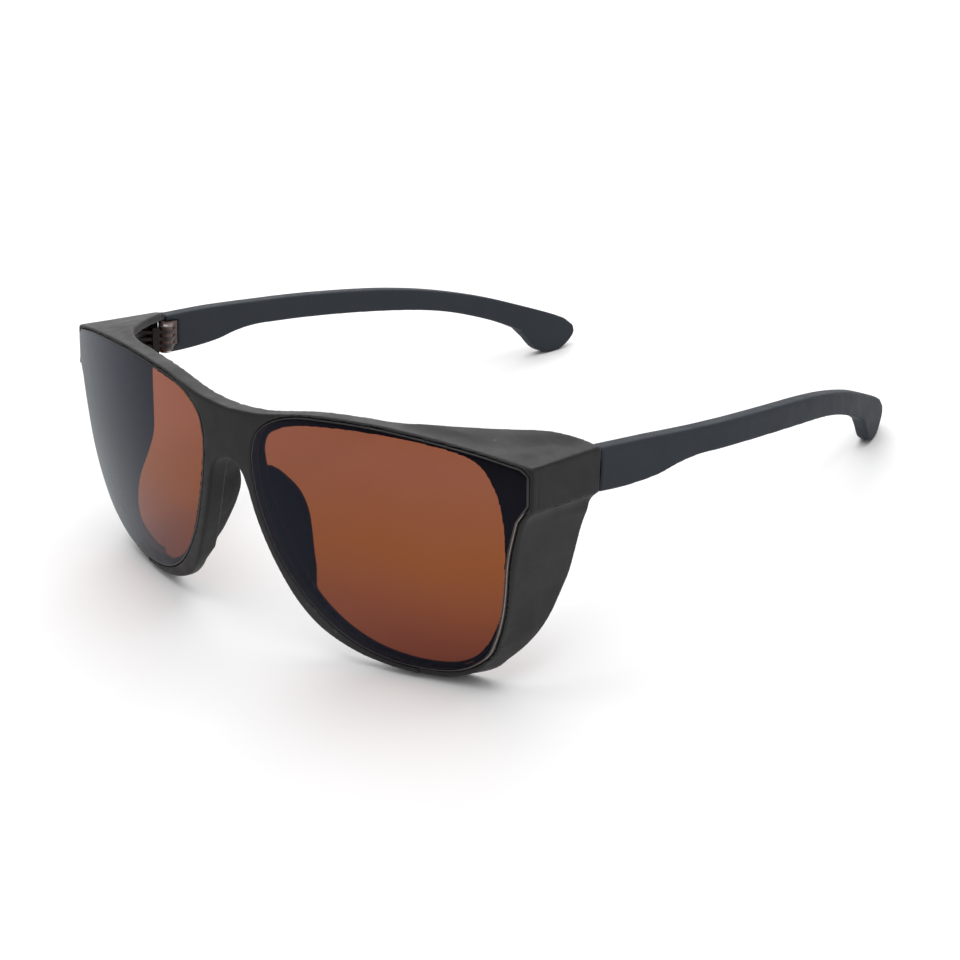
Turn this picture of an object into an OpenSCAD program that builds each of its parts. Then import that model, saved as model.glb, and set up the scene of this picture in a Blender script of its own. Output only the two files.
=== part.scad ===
// Wrap-around glacier glasses with fixed side shields and flex-hinged temples.
//
// Design frame: X runs across the face, the front faces -Y, the temples run
// back along +Y and Z is up. Its origin is the middle of the front surface at
// the height of the end pieces' top corners. Every part is drawn for the +X
// side (the wearer's left) and mirrored for the other. Last, the whole model
// is tilted and lifted so that it rests on a flat surface, temples open.

/* [Front] */
// Horizontal radius of the front surface at mid height
wrap_r = 179; // [177:1:181]
// Vertical radius of the front surface
drop_r = 139; // [137:1:141]
// Thickness of the rims and the bridge, front to back
rim_t = 4.2; // [3.8:0.1:4.4]
// Thickness of the brow hood over the end pieces
hood_t = 1.9; // [1.6:0.1:2.1]
// Thickness of the outer wall of an end piece
wall_t = 1.1; // [1.0:0.05:1.15]
// Height of the outer wall of an end piece
wall_h = 8.8; // [8.6:0.1:9.2]

/* [Lenses] */
// Lens thickness
lens_t = 1.8; // [1.6:0.1:2.0]
// Gap between a lens and the frame behind and around it
lens_gap = 0.06; // [0.04:0.01:0.1]

/* [Shields and pads] */
// Wall thickness of a side shield
shield_t = 1.4; // [1.2:0.1:1.5]
// Splay of a nose pad, seen from above
pad_splay = 18; // [16:1:22]
// Thickness of a nose pad
pad_t = 2.6; // [2.2:0.1:3]

/* [Temples] */
// Thickness of a temple at its front end
temple_t = 3.8; // [3.7:0.05:3.9]

/* [Hinges] */
// Distance of a hinge axis from the middle plane
axis_x = 64.8; // [64.7:0.1:64.9]
// Distance of a hinge axis behind the front surface
axis_y = 34.2; // [34.1:0.1:34.3]
// Height of one knuckle
knuckle_h = 0.82; // [0.8:0.01:0.86]
// Outer radius of the knuckles
knuckle_r = 1.7; // [1.6:0.05:1.8]
// Radius of the hinge screw
screw_r = 0.7; // [0.6:0.05:0.75]
// Radial running clearance of the screw in the knuckles
screw_gap = 0.05; // [0.02:0.01:0.08]
// Travel of a temple on its spring when it is flexed outward
flex_travel = 0.7; // [0.6:0.05:0.8]
// Wire radius of a flex spring
wire_r = 0.15; // [0.12:0.01:0.18]

/* [Rest] */
// Pitch of the glasses when they lie on a table with the temples open
rest_tilt = 11.42; // [11.3:0.01:11.6]
// Height that brings the lowest point to the table
rest_lift = 52.063; // [51:0.001:53.5]
// Shift that brings the middle of the footprint to the origin
rest_shift = -73.053; // [-80:0.001:-60]

/* [Hidden] */
$fn = 48;

// Level of the middle of the front surface's vertical arc
drop_z = -3.7;
// Plan view (x, y): front and rear corner of an end piece's outer face
block_front = [72.5, 15.7];
block_rear = [71, 36.2];
// Inner face of an end piece's wall at its rear
wall_x = block_rear[0] - wall_t;
// Plan view: the wall's thicker front end
WALL_FRONT = [[68.5, 16.5], [68.5, 14], [73, 14]];
// Gusset inside the wall: its thickness range across the face, and its side view
gusset_x = [66.5, 67.65];
GUSSET = [[14, 1], [26.6, 1], [26.6, -15.8], [16.5, -2], [14, -2]];
// A span that is larger than the whole model
span = 200;
// Tiny gap that keeps two touching solids from sharing volume
seam = 0.03;

// ---- outlines, in mm ----

// Front view (x, z): top line of the brow, from the middle to the corner
BROW = [
    [0, -0.9], [5, -0.6], [10, -0.1], [16, 1], [22, 2.1], [28, 2.8],
    [36, 3.3], [43, 3.4], [50, 3.1], [57, 2.5], [64, 1.6], [72.5, 0.1]
];
// Front view: outer line of the rim and the shield, down the temple side
RIM_SIDE = [
    [70.4, -9.2], [69.8, -12], [69, -17], [67.8, -24.5], [66.3, -31.5],
    [64.3, -37], [61.2, -42], [57, -46], [51.5, -48.4], [45, -49.3]
];
// Front view: outer line of the rim along the bottom and up to the bridge
RIM_NOSE = [
    [38, -49.2], [30, -48], [22, -44.8], [16.5, -39.8], [12.3, -33],
    [9.4, -27], [7.3, -21.5], [6, -17.2], [4.4, -14], [2.4, -12.4], [0, -11.8]
];
// Front view: the lens, from its nose side round to the temple corner
LENS_TOP = [
    [7.7, -9.3], [9.2, -4.4], [13.6, -1], [19.4, 1], [27, 2], [38.5, 2.7],
    [50, 2.4], [61, 1.4], [70.2, -0.2]
];
// Front view: the lens's two square corners on the temple side
LENS_CORNER = [[71.8, -1.5], [71.9, -7.4]];
// Front view: the lens, from the chamfered corner round to the nose side
LENS_LOW = [
    [69.7, -11], [67.9, -18.8], [66.9, -25.9], [65.7, -31.5], [63.7, -37],
    [60.6, -42], [54, -46.2], [45.5, -47.6], [37.3, -47.4], [29, -45],
    [21.5, -40], [14.2, -31.3], [10.2, -22.4], [8.2, -15]
];
// Front view: the eye opening in the frame
EYE = [
    [9.8, -7.2], [11.6, -3.8], [17.8, -1.5], [24, -0.4], [32, 0.5], [40, 0.9],
    [48, 0.9], [55.7, 0.3], [60.6, -1.3], [63.8, -5.4], [65.3, -10.3],
    [65.8, -16], [65.3, -24.4], [64.5, -29.5], [62.7, -34.4], [59.6, -39.8],
    [54.6, -44.1], [47.6, -45.8], [40, -45.9], [33.4, -44.7], [27.5, -42],
    [22.8, -38.2], [19, -33.4], [15.7, -27.4], [13.3, -21.5], [11.6, -15.5],
    [10.3, -11]
];
// Plan view (x, y): rear edge of the brow hood, middle to rear corner
HOOD_REAR = [
    [0, 4.2], [10, 4.6], [17, 5.3], [25.6, 6.3], [33, 7.6], [40, 9.1],
    [44, 10.3], [48, 12.8], [51, 15.8], [54, 19.3], [57, 23.4], [60, 28.2],
    [62, 31], [64, 33.1], [66, 34.8], [68, 35.8], [71, 36.2]
];
// Side view (y, z): rear edge of a shield, from the end piece to the rim
SHIELD_REAR = [
    [36.2, -8.8], [34.7, -10], [33.8, -12], [33.1, -16], [32.6, -21],
    [31.8, -26.5], [29.3, -32], [26.5, -36.5], [24.1, -40.5], [22, -44.5],
    [20.2, -48], [18.4, -49.6]
];
// Front view: nose side of a pad
PAD_EDGE = [
    [6, -14.3], [6.6, -18], [7.8, -22], [9.7, -27], [12.3, -32.5], [15.4, -38]
];
// Side view: rear edge of a pad
PAD_REAR = [
    [6.5, -14.4], [9, -16.4], [11.6, -19.2], [12.7, -22.5], [12.6, -26],
    [11.6, -30], [10.4, -34], [9.2, -37.8]
];
// Plan view: outer face of a temple, hinge end to tip
TEMPLE_OUT = [
    [71, 36.4], [71.7, 46], [72.2, 60], [71.8, 75], [70.6, 87], [68.6, 100],
    [65.8, 113], [62, 127], [57.5, 140], [53.7, 150.5], [51, 157.5]
];
// Side view: upper edge of a temple, hinge end to tip
TEMPLE_TOP = [
    [36.4, 0.1], [50, 0], [64, -0.5], [82, -1.1], [99, -2], [109, -2.9],
    [117, -4], [125, -5.5], [133, -7.4], [141, -9.8], [149, -12.4], [153, -14]
];
// Side view: rounded end of a temple's tip
TEMPLE_TIP = [
    [155.3, -15.9], [155.6, -18.2], [153.4, -21.2], [151, -22.6],
    [148, -22.8], [145.6, -21.6], [143.4, -19]
];
// Side view: lower edge of a temple, from the tip to the hinge end
TEMPLE_LOW = [
    [140.6, -16.2], [136, -14.2], [129, -11.9], [121, -9.9], [112, -8.6],
    [99, -7.6], [85, -6.9], [72, -6.5], [64, -6.4], [58, -7.1], [53, -8.2],
    [47, -8.8], [41, -9], [36.4, -8.9]
];

// ---- derived hinge values ----

// Number of knuckle layers in a hinge barrel
layers = 7;
barrel_top = -1.4;
barrel_bottom = barrel_top - layers * knuckle_h;
// Gap between neighbouring knuckles
layer_gap = 0.05;
// Plate of the frame leaf: inner face, and ends along the temple
plate_x = 66.9;
plate_y = [27.2, 31.4];
// Plan view: arm from the frame leaf's plate to its knuckles
BLOCK_ARM = [[67.2, 27.4], [69.4, 27.4], [69.4, 31.2],
    [axis_x + 1.2, axis_y + 1.2], [axis_x - 1.2, axis_y - 1.2]];
// Plan view: web that ties the frame leaf's arms together in front of the barrel
BLOCK_WEB = [[64.85, 30.6], [67.3, 31], [65.9, 32.15], [64, 31.95]];
// How far the frame leaf's plate and web stay below the top of the barrel
leaf_drop = 0.15;
// Radius and height of the screw's head, and width and depth of its slot
screw_head_r = 1.3;
screw_head_h = 0.5;
screw_slot = [0.3, 0.2];
// Faces of the slider head in the temple's recess
head_x = [67.25, 70];
head_y = [36.8, 39.5];
// Plan view: arm from the slider's knuckles to its head
SLIDER_ARM = [[axis_x - 0.6, axis_y + 1.5], [head_x[0], head_y[1] - 0.5],
    [head_x[1] - 0.1, head_y[0] + 0.4], [axis_x + 1.5, axis_y - 0.7]];
// Guide bar of the slider inside the temple, with its end faces
bar_x = [69.2, 70.5];
bar_z = [-6.4, -2.4];
bar_end = 44.5;
// Stop block fixed in the temple, which the spring pushes on
stop_y = [46, 47.6];
// Centre of the spring pin, and its radii and end
pin_x = 69.9;
pin_z = -4.4;
pin_r = 0.45;
pin_gap = 0.06;
pin_head_r = 0.88;
pin_head_y = [54.6, 55.2];
// Depth to which the pin is seated in the guide bar
pin_seat = 2;
// Room around the moving pieces in the temple
slide_gap = 0.1;
// Radius of the bore in the temple that the spring runs in
spring_bore_r = 0.98;
// Channel in the temple for the guide bar and the stop
channel_x = [bar_x[0] - slide_gap, bar_x[1] + slide_gap];
channel_z = [bar_z[0] - slide_gap, bar_z[1] + slide_gap];
// Mean radius and turns of a flex spring
coil_r = 0.72;
coil_turns = 9;

// ---- helpers ----

// One point of a smooth curve through b and c, with neighbours a and d
function spline_at(a, b, c, d, t) = 0.5 * (2 * b + (c - a) * t
    + (2 * a - 5 * b + 4 * c - d) * t * t
    + (3 * b - a - 3 * c + d) * t * t * t);

// A smooth open curve through points p, with n steps between neighbours
function curve(p, n = 3) = let (m = len(p) - 1) concat(
    [for (i = [0:m - 1], k = [0:n - 1])
        spline_at(p[max(i - 1, 0)], p[i], p[i + 1], p[min(i + 2, m)], k / n)],
    [p[m]]);

// A smooth closed curve through points p
function loop(p, n = 3) = let (m = len(p))
    [for (i = [0:m - 1], k = [0:n - 1])
        spline_at(p[(i + m - 1) % m], p[i], p[(i + 1) % m], p[(i + 2) % m],
            k / n)];

function backwards(p) = [for (i = [len(p) - 1:-1:0]) p[i]];

// Points p moved sideways by d, to the right of the way they run
function beside(p, d) = [for (i = [0:len(p) - 1])
    let (v = p[min(i + 1, len(p) - 1)] - p[max(i - 1, 0)])
    p[i] + d * [v[1], -v[0]] / norm(v)];

// Half an outline, from one point on the middle line to the other, made whole
function both_sides(p) = concat(p,
    [for (q = backwards(p)) if (q[0] > 0) [-q[0], q[1]]]);

// A front-view outline carried through the model along Y
module along_y(p) rotate([90, 0, 0]) translate([0, 0, -span])
    linear_extrude(2 * span) polygon(p);

// A side-view outline (y, z) carried across the model along X
module along_x(p) rotate([90, 0, 90]) translate([0, 0, -span])
    linear_extrude(2 * span) polygon(p);

// A plan-view outline carried between two levels
module along_z(p, z0, z1) translate([0, 0, z0])
    linear_extrude(z1 - z0) polygon(p);

module box(x, y, z) translate([x[0], y[0], z[0]])
    cube([x[1] - x[0], y[1] - y[0], z[1] - z[0]]);

// Everything behind the front surface, deeper than d
module behind(d) translate([0, wrap_r, drop_z]) rotate_extrude($fn = 240)
    intersection() {
        translate([wrap_r - drop_r, 0]) circle(drop_r - d, $fn = 240);
        translate([0, -span / 2]) square(span);
    }

// A layer of the front between two depths
module layer(d0, d1) difference() {
    behind(d0);
    behind(d1);
}

module rod(r, z0, z1) translate([0, 0, z0]) cylinder(r = r, h = z1 - z0);

// A round rod along Y, centred on the spring pin's line
module pin_rod(r, y0, y1) translate([pin_x, y0, pin_z]) rotate([-90, 0, 0])
    cylinder(r = r, h = y1 - y0);

// The finished pose: on the table, with the other side mirrored
module placed(left = true) translate([0, rest_shift, rest_lift])
    rotate([-rest_tilt, 0, 0]) mirror([left ? 0 : 1, 0, 0]) children();

// ---- front ----

brow_curve = curve(BROW, 2);
side_curve = curve(RIM_SIDE);
nose_curve = curve(RIM_NOSE);
shield_inner = beside(side_curve, shield_t + seam);
eye_outline = loop(EYE);
lens_low = curve(concat(LENS_LOW, [LENS_TOP[0]]));
lens_outline = concat(curve(LENS_TOP), LENS_CORNER,
    [for (i = [0:len(lens_low) - 2]) lens_low[i]]);

// Front view of the frame: brow, end pieces and the rims inside the shields
frame_outline = both_sides(concat(
    brow_curve,
    [[72.5, -wall_h], [69, -wall_h]],
    [for (p = shield_inner) if (p[1] < -wall_h - 1) p],
    nose_curve));

// Plan view of everything inside the outer faces of the two end pieces
face_plan = both_sides([[0, 60], [block_rear[0], 60], block_rear, block_front,
    [73.3, 4], [60, -1], [0, -1]]);

// Plan view of the brow hood
hood_plan = both_sides(concat(curve(HOOD_REAR, 2),
    [block_front, [73.3, 4], [60, -1], [0, -1]]));

// Front view of the brow hood
hood_front = both_sides(concat(brow_curve,
    backwards([for (p = brow_curve) p - [0, hood_t]])));

module frame_front() placed() color([0.2, 0.2, 0.21]) difference() {
    union() {
        intersection() {
            layer(0.1, rim_t);
            along_y(frame_outline);
            along_z(face_plan, -60, 5);
        }
        intersection() {
            along_z(hood_plan, -5, 5);
            along_y(hood_front);
            behind(0.1);
        }
        for (s = [0, 1]) mirror([s, 0, 0]) end_piece();
    }
    for (s = [0, 1]) mirror([s, 0, 0]) {
        along_y(eye_outline);
        difference() {
            along_y(beside(lens_outline, -lens_gap));
            behind(lens_t + lens_gap);
        }
    }
}

// Outer wall of one end piece, with the gusset that ties it to the hood
module end_piece() intersection() {
    union() {
        along_z(concat([block_front, block_rear, [wall_x, block_rear[1]],
            [wall_x, 18]], WALL_FRONT), -wall_h, 0);
        intersection() {
            box(gusset_x, [GUSSET[0][0], GUSSET[1][0]], [GUSSET[2][1] - 1, 0]);
            along_x(GUSSET);
        }
    }
    behind(1);
}

module lens(left) placed(left) color([0.5, 0.28, 0.18, 0.8]) intersection() {
    layer(0, lens_t);
    along_y(lens_outline);
}

module side_shield(left) placed(left) color([0.23, 0.23, 0.24]) intersection() {
    along_y(concat(side_curve, backwards(beside(side_curve, shield_t))));
    along_x(concat([[0, -8.8]], curve(SHIELD_REAR), [[0, -52]]));
    behind(lens_t + lens_gap);
    box([40, 80], [0, 60], [-60, -wall_h - seam]);
}

// Soft pad behind the nose side of a rim, swept back and outward
module nose_pad(left) placed(left) color([0.16, 0.16, 0.17]) intersection() {
    translate([8, rim_t, 0]) rotate([0, 0, -pad_splay]) translate([-8, 0, 0])
        along_y(concat(curve(PAD_EDGE), backwards(beside(curve(PAD_EDGE), -pad_t))));
    along_x(concat([[0, -14]], curve(PAD_REAR), [[0, -39]]));
    behind(rim_t + seam);
}

// ---- hinges ----

// Bottom and top of knuckle layer n, counted from below
function layer_z(n) = [barrel_bottom + n * knuckle_h + layer_gap / 2,
    barrel_bottom + (n + 1) * knuckle_h - layer_gap / 2];

// Knuckles in the given layers, each with an arm that reaches its plate
module knuckles(which, arm) for (n = which) let (z = layer_z(n)) {
    difference() {
        union() {
            translate([axis_x, axis_y, 0]) rod(knuckle_r, z[0], z[1]);
            along_z(arm, z[0], z[1]);
        }
        translate([axis_x, axis_y, 0])
            rod(screw_r + screw_gap, z[0] - 1, z[1] + 1);
    }
}

// Frame leaf: a plate on the end piece's wall and three knuckles tied by a web
module hinge_block(left) placed(left) color([0.42, 0.42, 0.44]) {
    box([plate_x, wall_x - seam], plate_y, [barrel_bottom, barrel_top - leaf_drop]);
    along_z(BLOCK_WEB, barrel_bottom, barrel_top - leaf_drop);
    knuckles([1, 3, 5], BLOCK_ARM);
}

// Upper face of the screw's head
screw_head_z = barrel_bottom - layer_gap;

// Hinge screw: shank through the barrel, slotted head below
module hinge_screw(left) placed(left) color([0.7, 0.7, 0.72])
    translate([axis_x, axis_y, 0]) difference() {
        union() {
            rod(screw_r, barrel_bottom - layer_gap, barrel_top);
            rod(screw_head_r, screw_head_z - screw_head_h, screw_head_z);
        }
        box([-2, 2], [-screw_slot[0] / 2, screw_slot[0] / 2],
            [screw_head_z - screw_head_h - 1,
                screw_head_z - screw_head_h + screw_slot[1]]);
    }

// Temple leaf: four knuckles, a head and a guide bar, free to slide in the temple
module hinge_slider(left) placed(left) color([0.5, 0.38, 0.36]) {
    box(head_x, head_y, [barrel_bottom + 0.1, barrel_top - 0.1]);
    knuckles([0, 2, 4, 6], SLIDER_ARM);
    difference() {
        box(bar_x, [head_y[1] - seam, bar_end], bar_z);
        pin_rod(pin_r, bar_end - pin_seat, bar_end + 1);
    }
}

// Spring pin: fixed in the guide bar, with a head that holds the spring
module spring_pin(left) placed(left) color([0.7, 0.7, 0.72]) {
    pin_rod(pin_r, bar_end - pin_seat, pin_head_y[1]);
    pin_rod(pin_head_r, pin_head_y[0], pin_head_y[1]);
}

// Stop: a drilled block fixed in the temple, which the pin slides through
module spring_stop(left) placed(left) color([0.6, 0.55, 0.4]) difference() {
    box([channel_x[0], channel_x[1]], stop_y, [channel_z[0], channel_z[1]]);
    pin_rod(pin_r + pin_gap, stop_y[0] - 1, stop_y[1] + 1);
}

// Ends of the spring's wire centre line, clear of the stop by the flex travel
spring_y = [stop_y[1] + flex_travel + 0.1 + wire_r, pin_head_y[0] - wire_r - 0.02];
spring_rings = 14 * coil_turns;
wire_sides = 6;

// Point j of ring i around the spring's wire
function wire_point(i, j) = let (
    turn = 360 * coil_turns * i / spring_rings,
    along = spring_y[0] + (spring_y[1] - spring_y[0]) * i / spring_rings,
    r = coil_r + wire_r * cos(360 * j / wire_sides))
    [pin_x + r * cos(turn),
        along + wire_r * sin(360 * j / wire_sides),
        pin_z + r * sin(turn)];

// Coil spring between the stop and the pin's head, drawn compressed
module flex_spring(left) placed(left) color([0.75, 0.75, 0.77]) polyhedron(
    points = [for (i = [0:spring_rings], j = [0:wire_sides - 1]) wire_point(i, j)],
    faces = concat(
        [[for (j = [wire_sides - 1:-1:0]) j]],
        [for (i = [0:spring_rings - 1], j = [0:wire_sides - 1]) let (
            a = i * wire_sides + j,
            b = i * wire_sides + (j + 1) % wire_sides)
            [a, b, b + wire_sides, a + wire_sides]],
        [[for (j = [0:wire_sides - 1]) spring_rings * wire_sides + j]]));

// ---- temples ----

module temple(left) placed(left) color([0.22, 0.24, 0.28]) difference() {
    intersection() {
        along_z(concat(curve(TEMPLE_OUT), backwards(
            [for (p = curve(TEMPLE_OUT)) p - [temple_t, 0]])),
            -30, 5);
        along_x(concat(curve(TEMPLE_TOP), curve(TEMPLE_TIP), curve(TEMPLE_LOW)));
    }
    // recess for the slider's head, open at the front and on the inner face
    box([60, head_x[1] + slide_gap], [30, head_y[1] + 0.6],
        [barrel_bottom - slide_gap, barrel_top + slide_gap]);
    // channel for the guide bar and the stop, and the spring's bore behind it
    box(channel_x, [37, stop_y[1]], channel_z);
    pin_rod(spring_bore_r, stop_y[1] - 1, pin_head_y[1] + 0.5);
}

frame_front();
lens(true);  // lens_left
lens(false);  // lens_right
side_shield(true);  // side_shield_left
side_shield(false);  // side_shield_right
nose_pad(true);  // nose_pad_left
nose_pad(false);  // nose_pad_right
hinge_block(true);  // hinge_block_left
hinge_block(false);  // hinge_block_right
hinge_screw(true);  // hinge_screw_left
hinge_screw(false);  // hinge_screw_right
hinge_slider(true);  // hinge_slider_left
hinge_slider(false);  // hinge_slider_right
spring_pin(true);  // spring_pin_left
spring_pin(false);  // spring_pin_right
flex_spring(true);  // flex_spring_left
flex_spring(false);  // flex_spring_right
spring_stop(true);  // spring_stop_left
spring_stop(false);  // spring_stop_right
temple(true);  // temple_left
temple(false);  // temple_right
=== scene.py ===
"""Glacier glasses: detailed meshes, materials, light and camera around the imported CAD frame.

The shapes are worked out in the CAD part's design frame, in millimetres: X runs across
the face, the front faces -Y, the temples run back along +Y and Z is up. Each solid is a
signed distance field on a grid, and its surface is turned into a quad mesh. Last, the
points are tilted and lifted into the row frame, in metres.
"""

import math

import bpy
import numpy as np
from mathutils import Matrix, Vector


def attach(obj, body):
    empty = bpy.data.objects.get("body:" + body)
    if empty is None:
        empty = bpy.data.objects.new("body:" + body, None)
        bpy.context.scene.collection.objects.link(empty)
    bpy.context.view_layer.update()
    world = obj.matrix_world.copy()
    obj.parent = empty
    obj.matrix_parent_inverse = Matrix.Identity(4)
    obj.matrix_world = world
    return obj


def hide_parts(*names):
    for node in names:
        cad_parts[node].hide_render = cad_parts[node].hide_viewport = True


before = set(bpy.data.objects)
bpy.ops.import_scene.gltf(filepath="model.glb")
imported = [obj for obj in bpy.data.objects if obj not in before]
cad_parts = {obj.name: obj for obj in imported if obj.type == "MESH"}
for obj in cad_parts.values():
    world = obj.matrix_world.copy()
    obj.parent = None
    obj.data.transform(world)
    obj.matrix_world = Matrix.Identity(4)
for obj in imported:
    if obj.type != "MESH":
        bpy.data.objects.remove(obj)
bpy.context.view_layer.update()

# ---- values shared with the CAD part, in mm and degrees ----

WRAP_R = 179.0
DROP_R = 139.0
DROP_Z = -3.7
RIM_T = 4.2
HOOD_T = 1.9
WALL_T = 1.1
WALL_H = 8.8
LENS_T = 1.8
SHIELD_T = 1.4
TEMPLE_T = 3.8
REST_TILT = math.radians(11.42)
REST_LIFT = 52.063
REST_SHIFT = -73.053
MM = 0.001

# Outer face of an end piece, seen from above: front and rear corner
BLOCK_FRONT = (72.5, 15.7)
BLOCK_REAR = (71.0, 36.2)

# Front view (x, z): top line of the brow
BROW = [
    (0, -0.9), (5, -0.6), (10, -0.1), (16, 1), (22, 2.1), (28, 2.8),
    (36, 3.3), (43, 3.4), (50, 3.1), (57, 2.5), (64, 1.6), (72.5, 0.1),
]
# Front view: from the end piece's lower corner down the temple side of the shield
SIDE = [
    (72.5, -8.8), (71.6, -9.7), (70.8, -11), (70.1, -13), (69.3, -16.5), (67.9, -24.3),
    (66.3, -31.5), (64.3, -37), (61.2, -42), (57, -46), (51.5, -48.4), (45, -49.3),
]
# Front view: along the bottom and up to the bridge
NOSE = [
    (38, -49.2), (30, -48), (22, -44.8), (16.5, -39.8), (12.3, -33), (9.4, -27),
    (7.3, -21.5), (6, -17.2), (4.4, -14), (2.4, -12.4), (0, -11.8),
]
# Front view: the lens, in three stretches that meet at corners
LENS_TOP = [
    (7.7, -9.3), (9.2, -4.4), (13.6, -1), (19.4, 1), (27, 2), (38.5, 2.7),
    (50, 2.4), (61, 1.4), (70.2, -0.2),
]
LENS_CORNER = [(71.8, -1.5), (71.9, -7.4)]
LENS_LOW = [
    (69.7, -11), (67.9, -18.8), (66.9, -25.9), (65.7, -31.5), (63.7, -37), (60.6, -42),
    (54, -46.2), (45.5, -47.6), (37.3, -47.4), (29, -45), (21.5, -40), (14.2, -31.3),
    (10.2, -22.4), (8.2, -15), (7.7, -9.3),
]
# Front view: the eye opening
EYE = [
    (9.8, -7.2), (11.6, -3.8), (17.8, -1.5), (24, -0.4), (32, 0.5), (40, 0.9), (48, 0.9),
    (55.7, 0.3), (60.6, -1.3), (63.8, -5.4), (65.3, -10.3), (65.8, -16), (65.3, -24.4),
    (64.5, -29.5), (62.7, -34.4), (59.6, -39.8), (54.6, -44.1), (47.6, -45.8), (40, -45.9),
    (33.4, -44.7), (27.5, -42), (22.8, -38.2), (19, -33.4), (15.7, -27.4), (13.3, -21.5),
    (11.6, -15.5), (10.3, -11),
]
# Plan view (x, y): rear edge of the hood
HOOD_REAR = [
    (0, 4.2), (10, 4.6), (17, 5.3), (25.6, 6.3), (33, 7.6), (40, 9.1), (44, 10.3),
    (48, 12.8), (51, 15.8), (54, 19.3), (57, 23.4), (60, 28.2), (62, 31), (64, 33.1),
    (66, 34.8), (68, 35.8), (71, 36.2),
]
# Side view (y, z): rear edge of a shield
SHIELD_REAR = [
    (36.2, -8.8), (34.7, -10), (33.8, -12), (33.1, -16), (32.6, -21), (31.8, -26.5),
    (29.3, -32), (26.5, -36.5), (24.1, -40.5), (22, -44.5), (20.2, -48), (18.4, -49.6),
]
# Side view (y, z): gusset that ties an end piece's wall to the hood
GUSSET = [(14, 1), (26.6, 1), (26.6, -15.8), (16.5, -2), (14, -2)]
# Centre line of a nose pad's free edge: (z, x, y)
PAD_EDGE = [
    (-13, 7.6, 5.5), (-15, 8.4, 7.6), (-18, 9.8, 9.9), (-22, 11.0, 11.3), (-26, 12.3, 11.2),
    (-30, 13.9, 10.5), (-34, 15.8, 9.6), (-38, 18.2, 7.6), (-42, 21.4, 5.6),
]
# Plan view: outer face of a temple
TEMPLE_OUT = [
    (71, 36.4), (71.7, 46), (72.2, 60), (71.8, 75), (70.6, 87), (68.6, 100),
    (65.8, 113), (62, 127), (57.5, 140), (53.7, 150.5), (51, 157.5),
]
# Side view (y, z): upper edge, tip and lower edge of a temple
TEMPLE_TOP = [
    (36.4, 0.1), (50, 0), (64, -0.5), (82, -1.1), (99, -2), (109, -2.9), (117, -4),
    (125, -5.5), (133, -7.4), (141, -9.8), (149, -12.4), (153, -14),
]
TEMPLE_TIP = [
    (155.3, -15.9), (155.6, -18.2), (153.4, -21.2), (151, -22.6), (148, -22.8),
    (145.6, -21.6), (143.4, -19),
]
TEMPLE_LOW = [
    (140.6, -16.2), (136, -14.2), (129, -11.9), (121, -9.9), (112, -8.6), (99, -7.6),
    (85, -6.9), (72, -6.5), (64, -6.4), (58, -7.1), (53, -8.2), (47, -8.8), (41, -9),
    (36.4, -8.9),
]


# ---- curves and distance fields ----


def spline(points, steps=4, closed=False):
    """A smooth curve through the points, with that many steps between neighbours."""
    p = np.asarray(points, float)
    n = len(p)
    out = []
    for i in range(n if closed else n - 1):
        if closed:
            a, b, c, d = (p[(i + k) % n] for k in (-1, 0, 1, 2))
        else:
            a, b, c, d = p[max(i - 1, 0)], p[i], p[i + 1], p[min(i + 2, n - 1)]
        for k in range(steps):
            t = k / steps
            out.append(0.5 * (2 * b + (c - a) * t + (2 * a - 5 * b + 4 * c - d) * t * t
                              + (3 * b - a - 3 * c + d) * t ** 3))
    if not closed:
        out.append(p[-1])
    return np.array(out)


def both_sides(half):
    """An outline given from one middle point to the other, made whole by mirroring."""
    other = [(-x, v) for x, v in half[::-1] if x > 0]
    return np.vstack([half, other])


# Square of the distance below which two points count as one
SAME_POINT = 1e-12


def outline_distance(outline, u, v):
    """Signed distance from the points (u, v) to a closed outline, negative inside."""
    u, v = np.broadcast_arrays(u, v)
    best = np.full(u.shape, np.inf)
    inside = np.zeros(u.shape, bool)
    for (ax, ay), (bx, by) in zip(outline, np.roll(outline, -1, 0)):
        ex, ey = bx - ax, by - ay
        length2 = ex * ex + ey * ey
        if length2 < SAME_POINT:
            continue
        t = np.clip(((u - ax) * ex + (v - ay) * ey) / length2, 0, 1)
        best = np.minimum(best, (u - ax - t * ex) ** 2 + (v - ay - t * ey) ** 2)
        if ey:
            crosses = (ay > v) != (by > v)
            inside ^= crosses & (u < ax + (v - ay) * ex / ey)
    return np.where(inside, -1, 1) * np.sqrt(best)


def meet(a, b, r):
    """What two fields share, with the edge between them rounded to radius r."""
    return np.minimum(np.maximum(a, b), -r) + np.hypot(
        np.maximum(a + r, 0), np.maximum(b + r, 0))


def smooth_step(t):
    """A soft change from 0 at t = 0 to 1 at t = 1."""
    t = np.clip(t, 0, 1)
    return t * t * (3 - 2 * t)


def ramp(value, start, length):
    """A soft change from 0 to 1 that begins at start and takes that length."""
    return smooth_step((value - start) / length)


def depth(x, y, z):
    """Distance of a point behind the front surface, in front of it when negative."""
    return DROP_R - np.hypot(np.hypot(x, y - WRAP_R) - (WRAP_R - DROP_R), z - DROP_Z)


def at_depth(x, z, d):
    """The y at which a point of the front view lies that deep."""
    ring = WRAP_R - DROP_R + np.sqrt((DROP_R - d) ** 2 - (z - DROP_Z) ** 2)
    return WRAP_R - np.sqrt(ring ** 2 - x ** 2)


def grid_lines(low, high, step):
    """Grid lines along x, y and z, shaped so that they broadcast."""
    lines = [np.arange(a, b + step, step) for a, b in zip(low, high)]
    return lines[0][:, None, None], lines[1][None, :, None], lines[2][None, None, :]


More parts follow.
